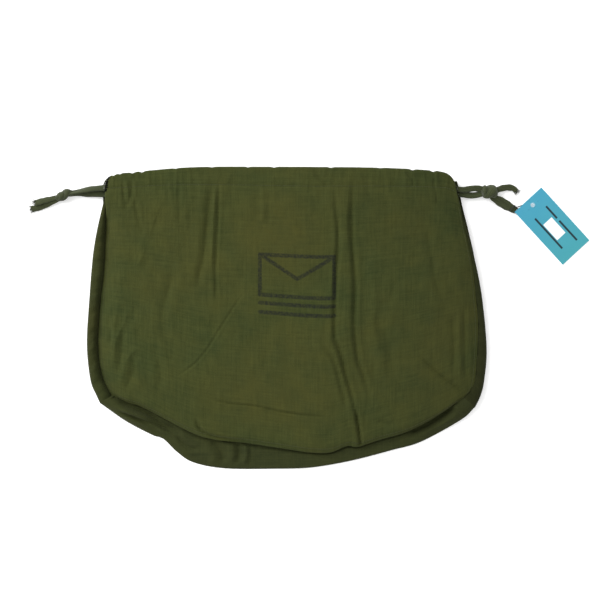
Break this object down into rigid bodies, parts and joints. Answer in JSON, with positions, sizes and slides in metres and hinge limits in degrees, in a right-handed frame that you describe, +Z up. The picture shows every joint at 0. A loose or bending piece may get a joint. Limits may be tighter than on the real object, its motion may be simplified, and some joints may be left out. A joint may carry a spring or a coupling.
{
  "type": "mail sack",
  "caption": "Flat canvas drawstring sack with a sewn base, a hemmed mouth, two knotted drawcords and a card swing tag.",
  "frame": {"origin": "centre of the sack's footprint, on the surface it lies on, cords left out", "axes": "+X across the sack to the tagged cord, +Y from the base to the mouth, +Z up off the surface it lies on"},
  "size_m": [0.7111, 0.3831, 0.0221],
  "materials": {
    "canvas": "matt plain weave",
    "base_canvas": "matt plain weave, darker",
    "thread": "matt",
    "dark_thread": "matt",
    "cord": "matt woven tape",
    "card": "coated card",
    "clear_plastic": "gloss",
    "elastic": "matt"
  },
  "bodies": {
    "sack": {"front_panel": "canvas", "back_panel": "canvas", "base_panel": "base_canvas", "front_casing": "canvas", "back_casing": "canvas", "front_casing_stitching": "thread", "back_casing_stitching": "thread", "base_seam_stitching": "thread", "left_side_stitching": "thread", "right_side_stitching": "thread"},
    "left_mouth_end": {"left_slot_binding": "dark_thread"},
    "right_mouth_end": {"right_slot_binding": "dark_thread"},
    "left_cord": {"left_drawcord": "cord", "left_knot": "cord", "left_upper_tail": "cord", "left_lower_tail": "cord"},
    "right_cord": {"right_drawcord": "cord", "right_knot": "cord", "right_upper_tail": "cord", "right_lower_tail": "cord"},
    "tag": {"swing_tag": "card", "tag_eyelet": "clear_plastic", "tag_elastic": "elastic"}
  },
  "joints": [
    {"name": "left_cord_pull", "type": "slide", "parent": "left_mouth_end", "child": "left_cord", "axis": [-1, 0, 0], "range_m": [0, 0.1], "deforming": ["left_drawcord"]},
    {"name": "right_mouth_gather", "type": "slide", "parent": "sack", "child": "right_mouth_end", "axis": [-1, 0, 0], "range_m": [0, 0.1], "deforming": ["right_side_stitching", "front_panel", "back_panel", "front_casing", "back_casing", "front_casing_stitching", "back_casing_stitching"]},
    {"name": "right_cord_pull", "type": "slide", "parent": "right_mouth_end", "child": "right_cord", "axis": [1, 0, 0], "range_m": [0, 0.1], "deforming": ["right_drawcord"]},
    {"name": "left_mouth_gather", "type": "slide", "parent": "sack", "child": "left_mouth_end", "axis": [1, 0, 0], "range_m": [0, 0.1], "deforming": ["left_side_stitching"]},
    {"name": "tag_swing", "type": "hinge", "parent": "right_cord", "child": "tag", "pos_m": [0.2825, 0.1435, 0.0046], "axis": [0, 0, 1], "range_deg": [-55, 45], "deforming": ["tag_elastic"]}
  ],
  "couplings": [
    {"joint": "right_mouth_gather", "follows": "left_cord_pull", "ratio": 1},
    {"joint": "left_mouth_gather", "follows": "right_cord_pull", "ratio": 1}
  ]
}
